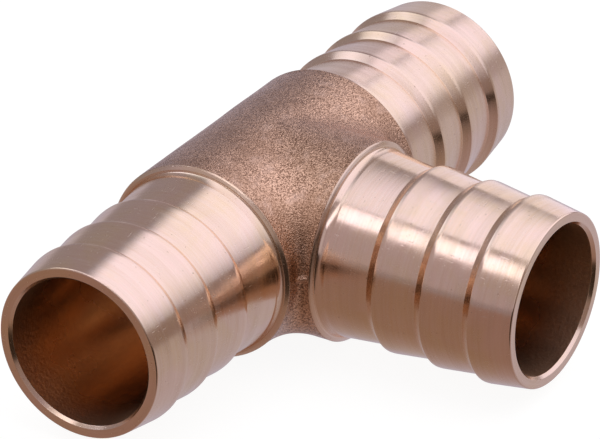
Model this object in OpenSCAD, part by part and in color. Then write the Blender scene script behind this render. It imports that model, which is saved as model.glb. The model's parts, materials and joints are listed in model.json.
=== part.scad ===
// Equal barbed tee for irrigation hose: a cast body with three turned hose tails.
// Millimetres. The origin is where the run axis and the branch axis cross.
// The run lies along X, the branch leaves along -Y, and +Z is up.

/* [Waterway] */
// Bore diameter of the run and of the branch
bore_d = 21; // [16:0.5:22]
// Depth of the chamfer inside each mouth
mouth_chamfer = 0.45; // [0:0.05:1]
// Radial width of the chamfer inside each mouth
mouth_chamfer_w = 0.4; // [0:0.05:1]

/* [Tee] */
// Overall length of the run, mouth to mouth
run_length = 93; // [80:0.5:110]
// From the run axis to the mouth of the branch
branch_reach = 45; // [38:0.5:55]
// Outside diameter of the cast body
body_d = 28; // [27:0.25:32]
// How deep the cast fillet fills the corner between run and branch
corner_fill = 0.58; // [0.2:0.02:0.8]
// Radius of the hollow in that fillet
corner_r = 2; // [1.8:0.1:3]

/* [Hose tails] */
// Diameter over the crests, for hose of 25 mm bore
crest_d = 26; // [24:0.25:28]
// Diameter at the foot of each barb
trough_d = 24.5; // [22:0.25:26]
// Outside diameter at the mouth
mouth_d = 24.3; // [22:0.1:26]
// Diameter of the root land where it starts to rise to the collar
root_d = 25.85; // [24:0.05:27]
// Barbs on each tail
barb_count = 3; // [2:1:5]
// From one barb to the next
barb_pitch = 7.3; // [5:0.1:9]
// Length of the steep side of each barb
barb_step = 1.2; // [0.5:0.1:2]
// Length of the straight land on each crest
crest_land = 0.6; // [0.3:0.1:1.5]
// From the collar's face to the mouth
tail_length = 29.4; // [22:0.1:40]

/* [Collars and sockets] */
// Diameter where the root meets the collar's face
collar_in_d = 26.6; // [25:0.1:28]
// Thickness of the collar
collar_t = 0.4; // [0.3:0.05:2]
// Bevel on the collar's outer edge
collar_bevel = 0.15; // [0:0.05:0.4]
// Length of the hollow curve that leads up to the collar
root_rise = 1.3; // [0.5:0.1:3]
// Radius of that curve
root_r = 3.5; // [2:0.1:8]
// Diameter of the spigot that seats in the body
spigot_d = 24.4; // [22:0.1:26]
// Length of the spigots on the run
run_spigot = 4.6; // [3:0.1:8]
// Length of the spigot on the branch
branch_spigot = 3.6; // [2:0.1:4]

/* [Hidden] */
$fn = 96;

cast_colour = [0.74, 0.58, 0.49];
turned_colour = [0.84, 0.66, 0.56];

// small bevel on the outer edge of each mouth
mouth_edge = 0.15;

bore_r = bore_d / 2;
body_r = body_d / 2;
crest_r = crest_d / 2;
trough_r = trough_d / 2;
mouth_r = mouth_d / 2;
root_land_r = root_d / 2;
collar_in_r = collar_in_d / 2;
spigot_r = spigot_d / 2;

// collar faces, from the origin
run_face = run_length / 2 - tail_length;
branch_face = branch_reach - tail_length;

// where the cast body stops, behind the collars
run_end = run_face - collar_t;
branch_end = branch_face - collar_t;

// the foot of the first barb, from the collar's face
first_barb = tail_length - barb_count * barb_pitch;

// centre of the arc through the foot of the rise and the collar's inner edge
rise_foot = [root_land_r, root_rise];
rise_top = [collar_in_r, 0];
rise_mid = (rise_foot + rise_top) / 2;
rise_chord = norm(rise_top - rise_foot);
rise_dir = (rise_top - rise_foot) / rise_chord;
rise_centre = rise_mid
    + [-rise_dir[1], rise_dir[0]] * sqrt(pow(root_r, 2) - pow(rise_chord / 2, 2));

// the fillet in each corner is a wheel with a hollow rim, standing on the corner's bisector:
// the wheel's centre from the origin, its radius at the hollow's floor, its rim and its width
corner = body_r * sqrt(2);
wheel_centre = corner * 0.55;
wheel_floor = corner + corner_fill - wheel_centre;
wheel_rim = wheel_floor + corner_fill / 2;
wheel_w = 2;

// Half section of a tail: radius, then distance outward from the collar's face
module tail_section(spigot) {
    difference() {
        polygon(concat(
            [
                [bore_r, -collar_t - spigot],
                [spigot_r, -collar_t - spigot],
                [spigot_r, -collar_t],
                [body_r, -collar_t],
                [body_r, -collar_bevel],
                [body_r - collar_bevel, 0],
                [collar_in_r, 0],
                [root_land_r, root_rise]
            ],
            [for (k = [0 : barb_count - 1])
                for (q = [[trough_r, 0], [crest_r, barb_step], [crest_r, barb_step + crest_land]])
                    [q[0], first_barb + k * barb_pitch + q[1]]],
            [
                [mouth_r, tail_length - mouth_edge],
                [mouth_r - mouth_edge, tail_length],
                [bore_r + mouth_chamfer_w, tail_length],
                [bore_r, tail_length - mouth_chamfer]
            ]
        ));
        // the hollow curve from the root land up to the collar
        intersection() {
            translate(rise_centre) circle(r = root_r);
            square([2 * body_r, root_rise]);
        }
    }
}

// A whole tail along +Z, its collar's face at height face
module tail(face, spigot) {
    translate([0, 0, face]) rotate_extrude() tail_section(spigot);
}

// The cast fillet between run and branch, on the side at this angle
module corner_fillet(angle) {
    rotate([0, 0, angle]) translate([wheel_centre, 0, 0]) rotate([90, 0, 0]) rotate_extrude()
        difference() {
            translate([0, -wheel_w / 2]) square([wheel_rim, wheel_w]);
            translate([wheel_floor + corner_r, 0]) circle(r = corner_r);
        }
}

module along_run(h, r) {
    rotate([0, 90, 0]) cylinder(h = h, r = r, center = true);
}

module along_branch(h, r) {
    rotate([90, 0, 0]) cylinder(h = h, r = r);
}

module tee_body() {
    color(cast_colour) difference() {
        union() {
            along_run(2 * run_end, body_r);
            along_branch(branch_end, body_r);
            corner_fillet(-45);
            corner_fillet(-135);
        }
        // waterways
        along_run(run_length, bore_r);
        along_branch(branch_reach, bore_r);
        // sockets for the three tails, cut past the body's ends
        for (s = [-1, 1])
            translate([s * (run_end - run_spigot + tail_length / 2), 0, 0])
                along_run(tail_length, spigot_r);
        translate([0, branch_spigot - branch_end, 0])
            along_branch(tail_length, spigot_r);
    }
}

module run_tail_left() {
    color(turned_colour) rotate([0, -90, 0]) tail(run_face, run_spigot);
}

module run_tail_right() {
    color(turned_colour) rotate([0, 90, 0]) tail(run_face, run_spigot);
}

module branch_tail() {
    color(turned_colour) rotate([90, 0, 0]) tail(branch_face, branch_spigot);
}

tee_body();
run_tail_left();
run_tail_right();
branch_tail();
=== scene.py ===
"""Barbed tee for irrigation hose: a blasted cast body with three turned hose tails.

Lengths are in millimetres until a mesh is made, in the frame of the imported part:
the run lies along X, the branch leaves along -Y, and the axes cross at the origin.
"""

import json
from itertools import product
from math import atan2, ceil, cos, pi, radians, sin, tan

import bmesh
import bpy
import numpy as np
from mathutils import Matrix, Vector


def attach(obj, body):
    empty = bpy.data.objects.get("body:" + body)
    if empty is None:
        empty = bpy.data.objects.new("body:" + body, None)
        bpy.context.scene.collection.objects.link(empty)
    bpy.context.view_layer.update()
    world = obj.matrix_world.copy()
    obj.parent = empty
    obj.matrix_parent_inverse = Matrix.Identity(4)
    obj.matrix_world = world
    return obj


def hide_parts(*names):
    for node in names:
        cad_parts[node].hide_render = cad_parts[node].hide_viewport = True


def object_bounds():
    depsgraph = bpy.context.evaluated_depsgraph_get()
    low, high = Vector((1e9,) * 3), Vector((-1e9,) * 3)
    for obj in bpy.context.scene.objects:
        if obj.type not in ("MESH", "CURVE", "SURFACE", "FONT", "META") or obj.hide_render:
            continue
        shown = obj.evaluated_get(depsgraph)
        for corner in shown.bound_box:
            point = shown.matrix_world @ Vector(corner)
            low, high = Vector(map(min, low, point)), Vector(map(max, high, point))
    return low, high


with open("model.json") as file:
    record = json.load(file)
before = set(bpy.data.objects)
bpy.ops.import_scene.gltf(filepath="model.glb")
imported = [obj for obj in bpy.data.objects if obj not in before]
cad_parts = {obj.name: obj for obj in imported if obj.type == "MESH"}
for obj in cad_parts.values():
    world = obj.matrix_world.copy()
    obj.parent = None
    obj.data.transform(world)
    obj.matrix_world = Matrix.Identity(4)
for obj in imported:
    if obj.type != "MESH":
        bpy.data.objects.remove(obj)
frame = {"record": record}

MM = 0.001
cad_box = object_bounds()

# ---------------------------------------------------------------- sizes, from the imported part
mounts = {m["name"]: m for m in frame["record"]["mounts"]}
BORE_R = mounts["run_waterway"]["dims"]["r_mm"]
CREST_R = mounts["left_hose_tail"]["dims"]["r_mm"]
BODY_R = cad_box[1].z / MM
RUN_FACE = mounts["right_hose_stop"]["pos_m"][0] / MM
BRANCH_FACE = -mounts["branch_hose_stop"]["pos_m"][1] / MM
TAIL_LENGTH = cad_box[1].x / MM - RUN_FACE

# the rest of a tail's section
TROUGH_R = 12.25
MOUTH_R = 12.15
ROOT_R = 12.925
BEAD_R = 13.42  # where the collar's shoulder ends and its face starts
COLLAR_T = 0.4
SPIGOT_R = 12.2
RUN_SPIGOT = 4.6
BRANCH_SPIGOT = 3.6
BARBS = 3
PITCH = 7.3
STEP = 1.2  # length of a barb's steep side
CREST_LAND = 0.4
ROOT_RISE, RISE_R = 1.3, 2.4  # length and radius of the hollow that leads up to the collar
CHAMFER, CHAMFER_W = 0.45, 0.4  # depth and width of the chamfer inside a mouth

EDGE = 0.05  # rounding of the casting's rim
WELD = 1e-7  # metres: points closer than this are one
AROUND = 352  # quads round each tube
OUTER_RINGS = 62  # rings of quads from an arm's rim to the mitre
BORE_RINGS = 18
BORE_GRAINY, BORE_ROUGH = 9.0, 2.0  # from a mouth: how far in the bore looks granular, and most so

# the casting's corners: the fill between the tubes at mid height, its growth upward, its most
CORNER_FILL = 1.25
CORNER_SPREAD = 0.07
CORNER_MOST = 8.0
# its skin: cell and height of each size of lump, and the distance from the rim over which they fade
GRAIN = ((0.5, 0.008), (1.4, 0.014), (5.0, 0.05))
GRAIN_FADE = 0.25
# the parting nick in the left corner: its half-width, half-height, level and how far it stands out
NICK_W, NICK_H, NICK_Z, NICK_LIFT = 1.0, 0.26, 0.55, 0.42

# colours of the metal, linear; the casting's darkest one is painted pit shade
COPPER = (0.89, 0.63, 0.46)
COPPER_WARM = (0.86, 0.62, 0.36)
COPPER_DULL = (0.73, 0.51, 0.335)
COPPER_PALE = (0.94, 0.76, 0.57)
COPPER_DARK = (0.40, 0.25, 0.15)
# painted shade: the dark, reddish low end of the casting's grain stands in for shade and inter-reflection
# in its pits
CAST_PIT_SHADE = (0.23, 0.115, 0.06)
CAST_CREST = (0.94, 0.58, 0.345)
CAST_DULL = (0.36, 0.19, 0.095)
CAST_PALE = (0.95, 0.64, 0.43)
BORE_COPPER = (0.82, 0.57, 0.345)
BORE_BROWN = (0.74, 0.49, 0.28)
BORE_DARK = (0.5, 0.30, 0.17)

# the studio, metres
FLOOR = 6.0  # half-side of the table
FLOOR_SEEN = (1.0, 1.0, 1.0)
FLOOR_BOUNCE = (2.0, 2.0, 1.6)  # the diffuse part of the table
FLOOR_SHADE = 0.08  # its share, which shows the shadow
WORLD_SEEN = (0.98, 0.98, 0.98)
# the room as the metal mirrors it: below the horizon from -X to +X, and above it from -Y to +Y
ROOM_LOW = (
    (0.00, (0.28, 0.19, 0.18)),
    (0.32, (0.29, 0.20, 0.18)),
    (0.50, (0.34, 0.26, 0.27)),
    (0.80, (0.47, 0.44, 0.53)),
    (1.00, (0.57, 0.55, 0.68)),
)
ROOM_HIGH = ((0.0, (0.26, 0.20, 0.21)), (0.5, (0.30, 0.26, 0.31)), (1.0, (0.30, 0.28, 0.34)))
ROOM_EDGE = (0.03, 0.02, 0.015)  # the dark edge of the table in front, and the dark nook
# levels and directions of the room, as parts of a unit vector: where each starts and where it is full
HORIZON = (-0.05, 0.02)
EDGE_BOTTOM, EDGE_TOP, EDGE_FRONT = (-0.12, -0.05), (0.10, 0.03), (0.75, 0.95)
EDGE_TURN = 0.6  # how far the front turns towards -X
NOOK = (1.02, 1.2)
STUDIO = 2.0  # multiplies every distance of the panels below
LAMP_Z = 0.55  # height of the softbox
# name, middle, half-side, half-side, colour, strength,
# fades: (axis, where it starts, where it is full, its share at the start), from -1 to 1
PANELS = (
    ("softbox", (1.39, -0.6225, LAMP_Z), (1.61, 0, 0), (0, 0.8975, 0), (1.02, 1.03, 1.35), 1.09,
     (("Y", 1.0, 0.80, 0.25), ("Y", -1.0, 0.31, 0.45))),
    ("back light", (0.0, 0.55, LAMP_Z - 0.02), (0.23, 0, 0), (0, 0.35, 0), (1.0, 1.06, 1.36), 1.55,
     (("X", 1.0, -0.5, 0.35), ("Y", -1.0, -0.2, 0.6), ("Y", 1.0, 0.6, 0.7))),
    ("strip", (-0.48, 0.01, LAMP_Z - 0.05), (-0.22, -0.21, 0), (0.072, -0.075, 0), (1.0, 1.0, 1.28), 1.62,
     (("Y", -1.0, -0.7, 0.6), ("Y", 1.0, 0.7, 0.6))),
    ("card", (0.9, 0.31, 0.20), (0, 0.12, 0), (0, 0, 0.36), (1.02, 1.0, 1.26), 0.94,
     (("X", 1.0, 0.2, 0.6),)),
    ("far card", (0.9, 0.63, 0.15), (0, 0.2, 0), (0, 0, 0.25), (1.02, 1.0, 1.26), 0.55,
     (("X", 1.0, 0.0, 0.5),)),
    ("low card", (2.0, -0.85, 0.12), (0, 0.95, 0), (0, 0, 0.14), (1.0, 0.9, 1.05), 0.42, ()),
    ("left card", (-0.9, 0.5, 0.65), (0.25, 0.45, 0), (0, 0, 0.55), (1.0, 0.88, 1.05), 0.42, ()),
    ("front card", (-0.9, -0.3, 0.33), (0.12, -0.25, 0), (0, 0, 0.25), (1.0, 0.92, 1.1), 0.5, ()),
)

# the view: millimetres, degrees
CAMERA_TARGET = (0.692, -4.963, 0.0)
CAMERA_DISTANCE = 865.0
CAMERA_ANGLES = (-59.2153, 28.4031, 1.267)
CAMERA_LENS = 384.4


# ---------------------------------------------------------------- outlines
def rounded(corners, steps=5):
    """Points of an outline given as (axial, radius, rounding) corners, each rounded by an arc."""
    out = []
    n = len(corners)
    for i, (a, r, rounding) in enumerate(corners):
        here = np.array([a, r], float)
        if rounding <= 0:
            out.append(here)
            continue
        before = np.array(corners[i - 1][:2], float) - here
        after = np.array(corners[(i + 1) % n][:2], float) - here
        u, v = before / np.linalg.norm(before), after / np.linalg.norm(after)
        half = np.arccos(np.clip(u @ v, -1, 1)) / 2
        most = 0.45 * min(np.linalg.norm(before), np.linalg.norm(after))
        reach = min(rounding / tan(half), most)
        radius = reach * tan(half)
        middle = here + (u + v) / np.linalg.norm(u + v) * radius / sin(half)
        start, end = here + u * reach - middle, here + v * reach - middle
        turn = atan2(start[0] * end[1] - start[1] * end[0], start @ end)
        for k in range(steps + 1):
            t = turn * k / steps
            spin = np.array([[cos(t), -sin(t)], [sin(t), cos(t)]])
            out.append(middle + spin @ start)
    return out


def spaced(points, longest, guard=0.05):
    """The closed outline with its long stretches divided, and a point close to each stretch's ends."""
    out = []
    for p, q in zip(points, points[1:] + points[:1]):
        out.append(p)
        gap = np.linalg.norm(q - p)
        if gap > 4 * guard:
            inner = np.linspace(guard / gap, 1 - guard / gap, max(2, ceil(gap / longest)))
            out.extend(p + (q - p) * t for t in inner)
    return out


def arc_between(p, q, radius, steps):
    """Corners along an arc from p to q, hollow towards larger radius and larger axial."""
    p, q = np.array(p, float), np.array(q, float)
    chord = np.linalg.norm(q - p)
    along = (q - p) / chord
    side = np.array([-along[1], along[0]])
    if side.sum() < 0:
        side = -side
    centre = (p + q) / 2 + side * np.sqrt(radius**2 - (chord / 2) ** 2)
    a0 = atan2(*(p - centre)[::-1])
    a1 = atan2(*(q - centre)[::-1])
    turn = (a1 - a0 + pi) % (2 * pi) - pi
    angles = [a0 + turn * k / steps for k in range(steps + 1)]
    return [(centre[0] + radius * cos(a), centre[1] + radius * sin(a), 0) for a in angles]


def tail_outline(spigot):
    """The section of a hose tail: axial distance outward from the collar's face, then radius."""
    first = TAIL_LENGTH - BARBS * PITCH
    corners = [
        (-COLLAR_T - spigot, BORE_R, 0),
        (-COLLAR_T - spigot, SPIGOT_R, 0),
        (-COLLAR_T, SPIGOT_R, 0),
        # the collar's rounded shoulder, then its face with a fine bead standing on it
        (-COLLAR_T, BODY_R - 0.02, 0),
        (-0.24, 13.80, 0.4),
        (-0.03, BEAD_R + 0.08, 0.04),
        (0, BEAD_R, 0.05),
        (0, BEAD_R - 0.09, 0.05),
        (0.06, BEAD_R - 0.16, 0.05),
        (0, BEAD_R - 0.22, 0.05),
    ]
    corners += arc_between((0.02, BEAD_R - 0.26), (ROOT_RISE, ROOT_R), RISE_R, 8)
    for k in range(BARBS):
        foot = first + k * PITCH
        corners += [
            (foot, TROUGH_R, 0.1),
            (foot + STEP, CREST_R, 0.2),
            (foot + STEP + CREST_LAND, CREST_R, 4),
        ]
    corners += [
        (TAIL_LENGTH, MOUTH_R, 0.26),
        (TAIL_LENGTH, BORE_R + CHAMFER_W, 0.06),
        (TAIL_LENGTH - CHAMFER, BORE_R, 0.1),
    ]
    return spaced(rounded(corners), 0.5)


# ---------------------------------------------------------------- meshes
def make_mesh(name, verts_mm, quads, slots=(), slot_of=None):
    mesh = bpy.data.meshes.new(name)
    mesh.from_pydata((np.asarray(verts_mm) * MM).tolist(), [], [tuple(map(int, q)) for q in quads])
    for material in slots:
        mesh.materials.append(material)
    if slot_of is not None:
        mesh.polygons.foreach_set("material_index", np.asarray(slot_of, np.int32))
    mesh.polygons.foreach_set("use_smooth", np.ones(len(mesh.polygons), bool))
    mesh.update()
    piece = bpy.data.objects.new(name, mesh)
    bpy.context.scene.collection.objects.link(piece)
    return piece


def ring_quads(rings, closed, first=0):
    """Quads between neighbouring rings of AROUND points, and the ring that each quad starts at."""
    bands = rings if closed else rings - 1
    ring, spoke = (grid.ravel() for grid in np.meshgrid(np.arange(bands), np.arange(AROUND), indexing="ij"))
    after, beside = (ring + 1) % rings, (spoke + 1) % AROUND
    corners = ((ring, spoke), (ring, beside), (after, beside), (after, spoke))
    return np.stack([first + i * AROUND + j for i, j in corners], 1), ring


def lathe(name, outline, face, direction, slots):
    """Turns the outline round the axis that leaves the origin along direction."""
    along = np.array(direction, float)
    up = np.array([0.0, 0.0, 1.0])
    side = np.cross(up, along)
    turn = np.linspace(0, 2 * pi, AROUND, endpoint=False)
    spokes = np.outer(np.cos(turn), up) + np.outer(np.sin(turn), side)
    section = np.array(outline)
    axial, radius = face + section[:, 0], section[:, 1]
    verts = axial[:, None, None] * along + radius[:, None, None] * spokes
    quads, ring = ring_quads(len(section), closed=True)
    # the bore is every ring of quads whose two edges are no wider than the bore
    inside = (radius < BORE_R + 0.02) & (np.roll(radius, -1) < BORE_R + 0.02)
    return make_mesh(name, verts.reshape(-1, 3), quads, slots, inside[ring])


def clean(piece):
    """Joins the seams between rings and faces every quad outward."""
    work = bmesh.new()
    work.from_mesh(piece.data)
    bmesh.ops.remove_doubles(work, verts=work.verts, dist=WELD)
    bmesh.ops.recalc_face_normals(work, faces=work.faces)
    work.to_mesh(piece.data)
    work.free()


# ---------------------------------------------------------------- noise and the cast body's shape
def value_noise(points, cell, seed):
    """Smooth noise from -1 to 1 with one random value in each cell, the same on every run."""
    size = 64
    table = np.random.default_rng(seed).uniform(-1, 1, (size, size, size))
    at = points / cell + 1000.5
    base = np.floor(at).astype(int)
    part = at - base
    part = part * part * (3 - 2 * part)
    total = np.zeros(points.shape[:-1])
    for corner in product((0, 1), repeat=3):
        weight = np.prod(np.where(corner, part, 1 - part), axis=-1)
        i, j, k = np.moveaxis((base + corner) % size, -1, 0)
        total += weight * table[i, j, k]
    return total


def cast_skin(p):
    """Distance outside the cast body, with its corners filled softly."""
    x, y, z = p[..., 0], p[..., 1], p[..., 2]
    run = np.hypot(y, z)
    branch = np.where(y < 0, np.hypot(x, z), np.linalg.norm(p, axis=-1))
    cosine = (z * z + np.where(y < 0, 0, y * y)) / (run * branch)
    fill = np.minimum(CORNER_FILL + CORNER_SPREAD * z * z, CORNER_MOST)
    reach = fill * (1 - cosine) + 1e-9
    a, b = run - BODY_R, branch - BODY_R
    near = np.maximum(reach - abs(a - b), 0) / reach
    return np.minimum(a, b) - near**2 * reach / 4


def slope(p, step=1e-3):
    grad = np.empty_like(p)
    for axis in range(3):
        shift = np.zeros(3)
        shift[axis] = step
        grad[..., axis] = (cast_skin(p + shift) - cast_skin(p - shift)) / (2 * step)
    return grad


def onto_skin(p):
    for _ in range(8):
        grad = slope(p)
        p = p - grad * (cast_skin(p) / np.sum(grad**2, -1))[..., None]
    return p


def roughened(p, outside):
    """The blasted skin: lumps and dents of three sizes, and a nick where the mould parted."""
    out = slope(p)
    out /= np.linalg.norm(out, axis=-1, keepdims=True)
    lift = sum(amp * value_noise(p, cell, seed) for seed, (cell, amp) in enumerate(GRAIN))
    across = (p[..., 0] - p[..., 1]) / 2**0.5
    corner = (p[..., 0] < 0) & (p[..., 1] < -BODY_R * 0.8)
    nick = np.exp(-(across / NICK_W) ** 2 - ((p[..., 2] - NICK_Z) / NICK_H) ** 2)
    return p + out * (outside * (lift + NICK_LIFT * corner * nick))[..., None]


def arm(along, across, face, socket, two_sided):
    """One arm of the body, ring by ring: its outside from the mitre out, its socket and its bore."""
    along, across, up = (np.array(v, float) for v in (along, across, (0, 0, 1)))
    turn = np.linspace(0, 2 * pi, AROUND, endpoint=False)
    end = face - COLLAR_T

    def ring(distance, radius):
        """A ring at a share of the way from the mitre (0) to the end (1), or at a distance in mm."""
        sideways = radius * np.sin(turn)
        mitre = np.abs(sideways) if two_sided else np.maximum(0, -sideways)
        place = mitre + (distance[1] - mitre) * distance[0]
        upward = radius * np.cos(turn)
        return place[:, None] * along + sideways[:, None] * across + upward[:, None] * up

    rings = [onto_skin(ring((t, end - EDGE), BODY_R)) for t in np.linspace(0, 1, OUTER_RINGS + 1)]
    room = [end - r @ along for r in rings]
    fade = [np.clip(m / GRAIN_FADE, 0, 1) for m in room]
    rings = [roughened(r, f * f * (3 - 2 * f)) for r, f in zip(rings, fade)]
    for t in (pi / 6, pi / 3, pi / 2):
        rings.append(ring((1, end - EDGE + EDGE * sin(t)), BODY_R - EDGE + EDGE * cos(t)))
    floor = face - COLLAR_T - socket
    rings += [ring((1, end), SPIGOT_R), ring((1, floor), SPIGOT_R), ring((1, floor), BORE_R)]
    outside = len(rings) - 1
    rings += [ring((t, floor), BORE_R) for t in np.linspace(1, 0, BORE_RINGS + 1)[1:]]
    return np.array(rings), outside


def cast_body(slots):
    arms = [
        arm((1, 0, 0), (0, 1, 0), RUN_FACE, RUN_SPIGOT, False),
        arm((-1, 0, 0), (0, 1, 0), RUN_FACE, RUN_SPIGOT, False),
        arm((0, -1, 0), (1, 0, 0), BRANCH_FACE, BRANCH_SPIGOT, True),
    ]
    verts, quads, slot_of = [], [], []
    for rings, outside in arms:
        faces, ring = ring_quads(len(rings), closed=False, first=sum(map(len, verts)))
        quads.append(faces)
        slot_of.append(ring >= outside)
        verts.append(rings.reshape(-1, 3))
    verts, quads, slot_of = map(np.concatenate, (verts, quads, slot_of))
    return make_mesh("cast_body", verts, quads, slots, slot_of)


# ---------------------------------------------------------------- materials
class Nodes:
    """A node tree, with short names for what the finishes and the studio need."""

    def __init__(self, tree):
        self.tree = tree

    def add(self, kind, **settings):
        made = self.tree.nodes.new("ShaderNode" + kind)
        for key, value in settings.items():
            setattr(made, key, value)
        return made

    def put(self, socket, value):
        """Links an output to the socket, or sets its value or colour."""
        if isinstance(value, bpy.types.NodeSocket):
            self.tree.links.new(value, socket)
        elif socket.type == "RGBA":
            socket.default_value = (*value, 1.0)
        else:
            socket.default_value = value

    def joined(self, kind, values, **settings):
        """A new node with its first inputs put in order."""
        made = self.add(kind, **settings)
        for socket, value in zip(made.inputs, values):
            self.put(socket, value)
        return made.outputs[0]

    def parts(self, vector):
        """The outputs X, Y and Z of a vector."""
        made = self.add("SeparateXYZ")
        self.put(made.inputs[0], vector)
        return made.outputs

    def math(self, operation, *values):
        return self.joined("Math", values, operation=operation)

    def spread(self, value, low, high, to_low=0.0, to_high=1.0, how="SMOOTHSTEP"):
        """Maps low..high to to_low..to_high, held at its ends."""
        return self.joined("MapRange", (value, low, high, to_low, to_high), interpolation_type=how)

    def mix(self, share, first, second):
        """A mix of two colours."""
        made = self.add("Mix", data_type="RGBA")
        for n, value in ((0, share), (6, first), (7, second)):
            self.put(made.inputs[n], value)
        return made.outputs[2]


class Finish(Nodes):
    """A metal surface."""

    def __init__(self, name):
        self.material = bpy.data.materials.new(name)
        self.material.use_nodes = True
        super().__init__(self.material.node_tree)
        self.shader = self.tree.nodes["Principled BSDF"]
        self.shader.inputs["Metallic"].default_value = 1.0
        self.place = self.add("TexCoord").outputs["Object"]

    def stretched(self, scale, turn=(0, 0, 0)):
        """The place on the object with scale cells a metre: one number, or one for each axis."""
        made = self.add("Mapping")
        self.put(made.inputs["Vector"], self.place)
        made.inputs["Scale"].default_value = scale if isinstance(scale, tuple) else (scale,) * 3
        made.inputs["Rotation"].default_value = turn
        return made.outputs["Vector"]

    def noise_at(self, place, detail, rough, warp=0.0):
        made = self.add("TexNoise")
        self.put(made.inputs["Vector"], place)
        settings = {"Scale": 1.0, "Detail": detail, "Roughness": rough, "Distortion": warp}
        for key, value in settings.items():
            made.inputs[key].default_value = value
        return made.outputs["Fac"]

    def noise(self, scale, turn=(0, 0, 0), detail=2.0, rough=0.5, warp=0.0):
        return self.noise_at(self.stretched(scale, turn), detail, rough, warp)

    def rings(self, axis, fine, coarse, detail=2.0, rough=0.5):
        """Noise drawn out round the axis: fine cells along it and outward, coarse ones round it."""
        place = self.parts(self.place)
        across = [self.math("POWER", place[c], 2.0) for c in "XYZ" if c != axis]
        radius = self.math("SQRT", self.math("ADD", *across))
        level = (self.math("MULTIPLY", place[axis], fine), self.math("MULTIPLY", radius, fine))
        vectors = (self.joined("CombineXYZ", level), self.stretched(coarse))
        return self.noise_at(self.joined("VectorMath", vectors, operation="ADD"), detail, rough)

    def cells(self, scale, value="Distance"):
        """Cells like packed grains: the distance from each middle, or a level of its own for each."""
        made = self.add("TexVoronoi")
        self.put(made.inputs["Vector"], self.stretched(scale))
        made.inputs["Scale"].default_value = 1.0
        if value == "Distance":
            return made.outputs[value]
        return self.joined("SeparateColor", (made.outputs[value],))

    def bump(self, height, depth, below=None):
        made = self.add("Bump")
        self.put(made.inputs["Height"], height)
        made.inputs["Distance"].default_value = depth
        if below is not None:
            self.put(made.inputs["Normal"], below)
        return made.outputs["Normal"]

    def done(self, colour, roughness, normal):
        inputs = {"Base Color": colour, "Roughness": roughness, "Normal": normal}
        for key, value in inputs.items():
            self.put(self.shader.inputs[key], value)
        return self.material


def drawn_out(axis, along, round_):
    """Cells a metre for noise that runs along one axis."""
    return tuple(along if c == axis else round_ for c in "XYZ")


def turned_finish(name, axis, dullness):
    """Bright turned metal: feed lines round the axis, faint tarnish, a few scratches and nicks."""
    f = Finish(name)
    feed = f.rings(axis, 3600, 110, detail=3.0, rough=0.65)
    bands = f.rings(axis, 800, 60)
    clouds = f.noise(95, detail=5.0, rough=0.62, warp=0.6)
    waves = f.noise(drawn_out(axis, 260, 210), detail=1.0)
    slants = (((180, 5200, 5200), (0.3, 0.5, 0.8)), ((4300, 240, 4300), (1.1, 0.2, 0.5)))
    strokes = [f.spread(f.noise(scale, turn, detail=1.0), 0.70, 0.78) for scale, turn in slants]
    scratch = f.math("MAXIMUM", *strokes)
    speck = f.spread(f.noise(2600, detail=1.0), 0.74, 0.80)

    colour = f.mix(f.spread(clouds, 0.35, 0.7), COPPER, COPPER_WARM)
    colour = f.mix(f.spread(bands, 0.3, 0.75, 0.0, 0.35), colour, COPPER_DULL)
    colour = f.mix(f.spread(feed, 0.3, 0.7, 0.0, 0.3), colour, COPPER_PALE)
    colour = f.mix(f.math("MULTIPLY", scratch, 0.45), colour, COPPER_PALE)
    colour = f.mix(f.math("MULTIPLY", speck, 0.6), colour, COPPER_DARK)

    roughness = f.spread(bands, 0.25, 0.75, dullness - 0.03, dullness + 0.05)
    roughness = f.math("ADD", roughness, f.spread(clouds, 0.4, 0.75, 0.0, 0.06))
    roughness = f.math("ADD", roughness, f.math("MULTIPLY", scratch, 0.10))

    normal = f.bump(waves, 26e-6)
    normal = f.bump(feed, 4.2e-6, normal)
    normal = f.bump(f.math("ADD", scratch, speck), -4e-6, normal)
    f.shader.inputs["Anisotropic"].default_value = 0.5
    f.shader.inputs["Anisotropic Rotation"].default_value = 0.25
    tangent = f.add("Tangent", direction_type="RADIAL", axis=axis)
    f.put(f.shader.inputs["Tangent"], tangent.outputs[0])
    return f.done(colour, roughness, normal)


def blasted_finish():
    """Grit-blasted casting: a close grain of pits with pale crests, with dark grains painted in as the
    pits' shade, dulled in places.
    """
    f = Finish("blasted_casting")
    grit = f.noise(4600, detail=4.0, rough=0.7)
    pits = f.cells(5600)
    grains = f.cells(6400, value="Color")
    clouds = f.noise(110, detail=5.0, rough=0.65)
    blots = f.noise(420, detail=3.0, rough=0.6)

    # the grain's tone at random, with its dark end painted in as the shade of pits
    grain_and_pit_shade = f.math("MULTIPLY_ADD", grains, 0.7, f.spread(grit, 0.34, 0.66))
    colour = f.mix(f.spread(grain_and_pit_shade, 0.3, 1.35), CAST_PIT_SHADE, CAST_CREST)
    colour = f.mix(f.spread(clouds, 0.36, 0.66, 0.0, 0.55), colour, CAST_DULL)
    colour = f.mix(f.spread(blots, 0.5, 0.75, 0.0, 0.35), colour, CAST_PALE)
    roughness = f.spread(grit, 0.3, 0.7, 0.30, 0.18)
    normal = f.bump(blots, 50e-6)
    normal = f.bump(pits, -52e-6, normal)
    normal = f.bump(grit, 26e-6, normal)
    return f.done(colour, roughness, normal)


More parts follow.
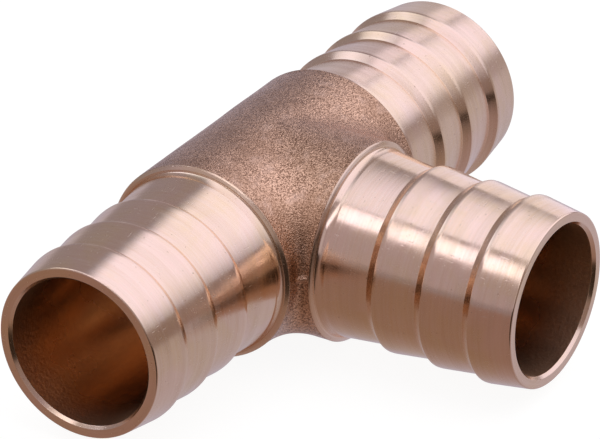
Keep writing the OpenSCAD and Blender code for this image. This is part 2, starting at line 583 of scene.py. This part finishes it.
def bore_finish(name, axis, mouth):
    """The bored inside: smooth in the depth, granular and duller towards the mouth."""
    f = Finish(name)
    marks = f.noise(drawn_out(axis, 2400, 260), detail=3.0, rough=0.6)
    grain = f.noise(2100, detail=2.0)
    clouds = f.noise(120, detail=4.0)
    colour = f.mix(f.spread(clouds, 0.35, 0.7), BORE_COPPER, BORE_BROWN)
    colour = f.mix(f.spread(grain, 0.3, 0.75, 0.0, 0.3), colour, BORE_DARK)
    distance = f.math("ABSOLUTE", f.parts(f.place)[axis])
    outer = f.spread(distance, (mouth - BORE_GRAINY) * MM, (mouth - BORE_ROUGH) * MM)
    roughness = f.spread(clouds, 0.3, 0.7, 0.22, 0.30)
    roughness = f.math("MULTIPLY_ADD", outer, 0.12, roughness)
    normal = f.bump(marks, 6e-6)
    depth = f.math("MULTIPLY_ADD", outer, 0.85, 0.15)
    normal = f.bump(f.math("MULTIPLY", grain, depth), 55e-6, normal)
    return f.done(colour, roughness, normal)


# ---------------------------------------------------------------- the four pieces
blasted = blasted_finish()
bore_cast = bore_finish("bored_casting", "X", RUN_FACE + TAIL_LENGTH)
pieces = {}
pieces["tee_body"] = cast_body((blasted, bore_cast))
for node, spigot, face, direction, axis, dullness in (
    ("run_tail_left", RUN_SPIGOT, RUN_FACE, (-1, 0, 0), "X", 0.17),
    ("run_tail_right", RUN_SPIGOT, RUN_FACE, (1, 0, 0), "X", 0.19),
    ("branch_tail", BRANCH_SPIGOT, BRANCH_FACE, (0, -1, 0), "Y", 0.17),
):
    turned = turned_finish("turned_" + node, axis, dullness)
    bored = bore_finish("bored_" + node, axis, face + TAIL_LENGTH)
    pieces[node] = lathe("turned_" + node, tail_outline(spigot), face, direction, (turned, bored))

for node, piece in pieces.items():
    clean(piece)
    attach(piece, "root")
    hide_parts(node)


# ---------------------------------------------------------------- floor, light and camera
def fill(tree, output, build):
    """Empties a node tree and leads the surface that build makes to its output."""
    tree.nodes.clear()
    nodes = Nodes(tree)
    surface = build(nodes)
    nodes.put(nodes.add(output).inputs["Surface"], surface)


def flat(name, middle, right, up, build):
    """A rectangle that isn't part of the object, from its middle and its two half-sides."""
    material = bpy.data.materials.new(name)
    material.use_nodes = True
    fill(material.node_tree, "OutputMaterial", build)
    mesh = bpy.data.meshes.new(name)
    mesh.from_pydata([(-1, -1, 0), (1, -1, 0), (1, 1, 0), (-1, 1, 0)], [], [(0, 1, 2, 3)])
    mesh.materials.append(material)
    thing = bpy.data.objects.new(name, mesh)
    right, up = Vector(right), Vector(up)
    sides = Matrix((right, up, right.cross(up).normalized())).transposed().to_4x4()
    thing.matrix_world = Matrix.Translation(middle) @ sides
    bpy.context.scene.collection.objects.link(thing)
    return thing


def table_surface(nodes):
    """A brightly lit white table with only a trace of shadow."""
    glow = nodes.joined("Emission", (FLOOR_SEEN,))
    white = nodes.joined("BsdfDiffuse", (FLOOR_BOUNCE,))
    return nodes.joined("MixShader", (FLOOR_SHADE, glow, white))


def panel(name, middle, right, up, colour, strength, fades):
    """A softbox: a glowing rectangle that the camera doesn't see."""

    def glow(nodes):
        place = nodes.parts(nodes.add("TexCoord").outputs["Object"])
        level = strength
        for axis, start, full, share in fades:
            level = nodes.math("MULTIPLY", nodes.spread(place[axis], start, full, share), level)
        return nodes.joined("Emission", (colour, level))

    middle, right, up = (Vector(v) * STUDIO for v in (middle, right, up))
    thing = flat(name, middle, right, up, glow)
    thing.visible_camera = False
    thing.visible_shadow = False


def room(nodes):
    """White to the camera; to the metal, a room with a dark front and a paler right side."""
    way = nodes.parts(nodes.add("TexCoord").outputs["Generated"])

    def across(axis, stops):
        ramp = nodes.add("ValToRGB")
        nodes.put(ramp.inputs[0], nodes.spread(way[axis], -1.0, 1.0, how="LINEAR"))
        elements = ramp.color_ramp.elements
        for n, (at, colour) in enumerate(stops):
            stop = elements[n] if n < 2 else elements.new(at)
            stop.position, stop.color = at, (*colour, 1)
        return ramp.outputs[0]

    above = nodes.spread(way["Z"], *HORIZON, how="LINEAR")
    walls = nodes.mix(above, across("X", ROOM_LOW), across("Y", ROOM_HIGH))

    turned = nodes.math("MULTIPLY", way["X"], EDGE_TURN)
    front = nodes.math("SUBTRACT", nodes.math("MULTIPLY", way["Y"], -1.0), turned)
    below = nodes.spread(way["Z"], *EDGE_TOP)
    level = nodes.math("MULTIPLY", nodes.spread(way["Z"], *EDGE_BOTTOM), below)
    edge = nodes.math("MULTIPLY", level, nodes.spread(front, *EDGE_FRONT))
    corner = nodes.math("MULTIPLY", nodes.math("ADD", way["X"], way["Y"]), -1.0)
    nook = nodes.math("MULTIPLY", below, nodes.spread(corner, *NOOK))
    mirrored = nodes.mix(nodes.math("MAXIMUM", edge, nook), walls, ROOM_EDGE)

    to_camera = nodes.add("LightPath").outputs["Is Camera Ray"]
    shades = [nodes.joined("Background", (colour,)) for colour in (mirrored, WORLD_SEEN)]
    return nodes.joined("MixShader", (to_camera, *shades))


floor_z = cad_box[0].z
table = flat("floor", (0, 0, floor_z), (FLOOR, 0, 0), (0, FLOOR, 0), table_surface)
table.visible_glossy = False
table.visible_shadow = False
for entry in PANELS:
    panel(*entry)

world = bpy.data.worlds.new("studio")
bpy.context.scene.world = world
world.use_nodes = True
fill(world.node_tree, "OutputWorld", room)

azimuth, elevation, roll = map(radians, CAMERA_ANGLES)
back = Vector((sin(azimuth) * cos(elevation), -cos(azimuth) * cos(elevation), sin(elevation)))
right = Vector((0, 0, 1)).cross(back).normalized()
up = back.cross(right)
right, up = right * cos(roll) + up * sin(roll), up * cos(roll) - right * sin(roll)
lens = bpy.data.cameras.new("camera")
lens.lens = CAMERA_LENS
lens.sensor_width = 36
lens.clip_start, lens.clip_end = 0.05, 20
camera = bpy.data.objects.new("camera", lens)
bpy.context.scene.collection.objects.link(camera)
place = Vector(CAMERA_TARGET) * MM + back * CAMERA_DISTANCE * MM
camera.matrix_world = Matrix.Translation(place) @ Matrix((right, up, back)).transposed().to_4x4()
bpy.context.scene.camera = camera
bpy.context.scene.view_settings.view_transform = "Standard"
